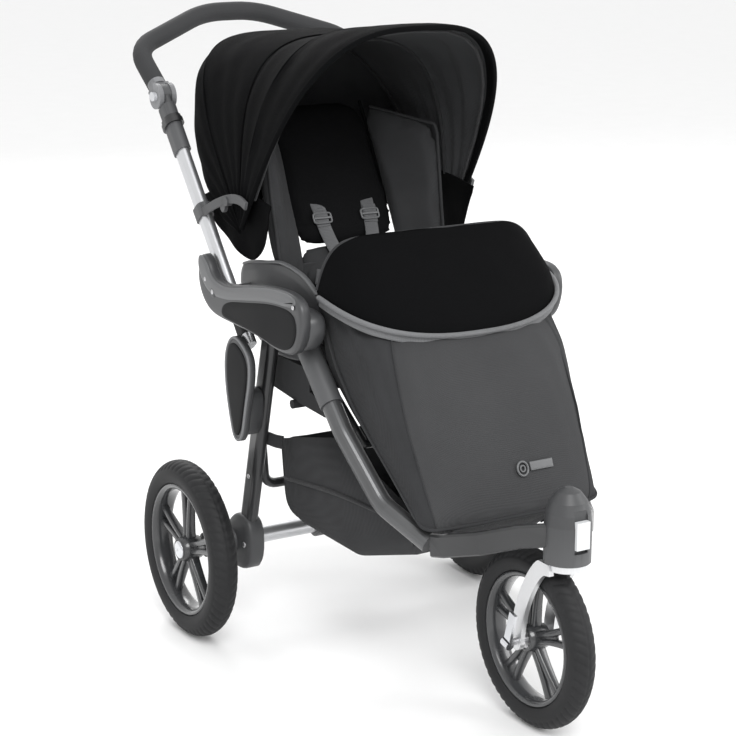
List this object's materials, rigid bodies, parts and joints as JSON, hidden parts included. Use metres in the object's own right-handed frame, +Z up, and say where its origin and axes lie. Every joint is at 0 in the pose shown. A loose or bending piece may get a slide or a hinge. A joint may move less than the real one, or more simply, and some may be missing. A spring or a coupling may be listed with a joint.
{
  "type": "baby stroller",
  "caption": "Folding jogging-style baby stroller with a swivelling front wheel, tilting foam handlebar, fabric hood, padded seat, leg cover and a storage basket under the seat.",
  "frame": {"origin": "on the ground plane, at the middle of the whole stroller's width and length", "axes": "+X towards the rider's left, +Y from the front wheel towards the handlebar, +Z up"},
  "size_m": [0.595, 1.0969, 0.991],
  "materials": {
    "tyre": "matt rubber with tread",
    "rim": "semi-gloss dark grey",
    "hub_cap": "polished",
    "bearing": "ground",
    "axle": "drawn bar",
    "silver_tube": "satin silver paint",
    "dark_tube": "satin dark grey paint",
    "fork_metal": "satin",
    "housing": "satin mid-grey",
    "bracket": "satin dark grey",
    "inset": "matt black",
    "knuckle": "satin grey",
    "button": "silver",
    "foam": "foam grip",
    "latch": "light grey",
    "lever": "polished",
    "fabric_black": "woven black",
    "fabric_grey": "woven dark grey",
    "webbing": "woven strap",
    "base_fabric": "coated dark fabric"
  },
  "bodies": {
    "chassis": {"side_housing_left": "housing", "side_housing_right": "housing", "label_panels": "inset", "armrest_left": "housing", "armrest_right": "housing", "front_sleeves": "bracket", "front_tube_left": "silver_tube", "front_tube_right": "silver_tube", "crossbar": "dark_tube", "swivel_housing": "bracket", "seat_base": "base_fabric", "footrest_frame": "dark_tube", "pivot_pins": "axle", "seat_pad": "fabric_grey", "leg_cover": "fabric_grey", "leg_flap": "fabric_black", "basket": "fabric_grey"},
    "handle_frame": {"handle_tube_left": "silver_tube", "handle_tube_right": "silver_tube", "knuckle_base_left": "bracket", "knuckle_base_right": "bracket", "tube_collars": "inset", "canopy_clip_left": "bracket", "canopy_clip_right": "bracket"},
    "release_collar_left": {"release_collar_left": "inset"},
    "release_collar_right": {"release_collar_right": "inset"},
    "handlebar": {"handlebar": "foam", "knuckle_head_left": "knuckle", "knuckle_head_right": "knuckle"},
    "tilt_button_left": {"tilt_button_left": "button"},
    "tilt_button_right": {"tilt_button_right": "button"},
    "canopy": {"canopy": "fabric_black", "canopy_hoops": "inset"},
    "backrest": {"backrest": "fabric_black", "harness": "webbing"},
    "rear_frame": {"axle_tube": "silver_tube", "rear_axle": "axle", "axle_bracket_left": "bracket", "axle_bracket_right": "bracket", "rear_leg_left": "dark_tube", "rear_leg_right": "dark_tube", "leg_pod_left": "bracket", "leg_pod_right": "bracket", "stay_bar": "dark_tube"},
    "brake_pedal": {"brake_pedal": "bracket"},
    "rear_wheel_left": {"rear_tyre_left": "tyre", "rear_rim_left": "rim", "hub_cap_left": "hub_cap", "rear_bearings_left": "bearing"},
    "rear_wheel_right": {"rear_tyre_right": "tyre", "rear_rim_right": "rim", "hub_cap_right": "hub_cap", "rear_bearings_right": "bearing"},
    "fork": {"fork": "fork_metal", "front_axle": "axle"},
    "quick_release_lever": {"quick_release_lever": "lever"},
    "front_wheel": {"front_tyre": "tyre", "front_rim": "rim", "front_bearings": "bearing"},
    "swivel_lock": {"swivel_lock": "latch"}
  },
  "joints": [
    {"name": "fold", "type": "hinge", "parent": "chassis", "child": "handle_frame", "pos_m": [0, 0.1375, 0.57], "axis": [1, 0, 0], "range_deg": [0, 118], "deforming": ["seat_pad", "leg_cover", "leg_flap", "basket", "canopy", "canopy_hoops"]},
    {"name": "rear_fold", "type": "hinge", "parent": "chassis", "child": "rear_frame", "pos_m": [0, 0.0355, 0.54], "axis": [1, 0, 0], "range_deg": [-47.5, 0]},
    {"name": "canopy_fold", "type": "hinge", "parent": "handle_frame", "child": "canopy", "pos_m": [0, 0.1315, 0.712], "axis": [1, 0, 0], "range_deg": [-71, 0]},
    {"name": "handle_tilt", "type": "hinge", "parent": "handle_frame", "child": "handlebar", "pos_m": [0, 0.36952, 0.85047], "axis": [1, 0, 0], "range_deg": [-50, 70]},
    {"name": "backrest_fold", "type": "hinge", "parent": "chassis", "child": "backrest", "pos_m": [0, 0.0815, 0.562], "axis": [1, 0, 0], "range_deg": [0, 94.4]},
    {"name": "brake_pedal_press", "type": "hinge", "parent": "rear_frame", "child": "brake_pedal", "pos_m": [0, 0.1615, 0.145], "axis": [1, 0, 0], "range_deg": [-25, 0]},
    {"name": "fork_swivel", "type": "hinge", "parent": "chassis", "child": "fork", "pos_m": [0, -0.4885, 0.33], "axis": [0, 0, 1], "continuous": true},
    {"name": "front_wheel_spin", "type": "hinge", "parent": "fork", "child": "front_wheel", "pos_m": [0, -0.4135, 0.135], "axis": [1, 0, 0], "continuous": true},
    {"name": "quick_release", "type": "hinge", "parent": "fork", "child": "quick_release_lever", "pos_m": [-0.047, -0.4135, 0.135], "axis": [0, -0.9613, -0.2756], "range_deg": [0, 150]},
    {"name": "swivel_lock_slide", "type": "slide", "parent": "chassis", "child": "swivel_lock", "axis": [0, 0, 1], "range_m": [0, 0.01]},
    {"name": "rear_wheel_left_spin", "type": "hinge", "parent": "rear_frame", "child": "rear_wheel_left", "pos_m": [0.275, 0.1615, 0.145], "axis": [1, 0, 0], "continuous": true},
    {"name": "release_collar_left_slide", "type": "slide", "parent": "handle_frame", "child": "release_collar_left", "axis": [0, 0.6374, 0.7705], "range_m": [0, 0.01], "stiffness_N_per_m": 300, "springref_m": -0.003},
    {"name": "tilt_button_left_press", "type": "slide", "parent": "handlebar", "child": "tilt_button_left", "axis": [-1, 0, 0], "range_m": [0, 0.003], "stiffness_N_per_m": 300, "springref_m": -0.002},
    {"name": "rear_wheel_right_spin", "type": "hinge", "parent": "rear_frame", "child": "rear_wheel_right", "pos_m": [-0.275, 0.1615, 0.145], "axis": [1, 0, 0], "continuous": true},
    {"name": "release_collar_right_slide", "type": "slide", "parent": "handle_frame", "child": "release_collar_right", "axis": [0, 0.6374, 0.7705], "range_m": [0, 0.01], "stiffness_N_per_m": 300, "springref_m": -0.003},
    {"name": "tilt_button_right_press", "type": "slide", "parent": "handlebar", "child": "tilt_button_right", "axis": [1, 0, 0], "range_m": [0, 0.003], "stiffness_N_per_m": 300, "springref_m": -0.002}
  ],
  "couplings": [
    {"joint": "rear_fold", "follows": "fold", "ratio": -0.4},
    {"joint": "canopy_fold", "follows": "fold", "ratio": -0.6},
    {"joint": "backrest_fold", "follows": "fold", "ratio": 0.8}
  ]
}
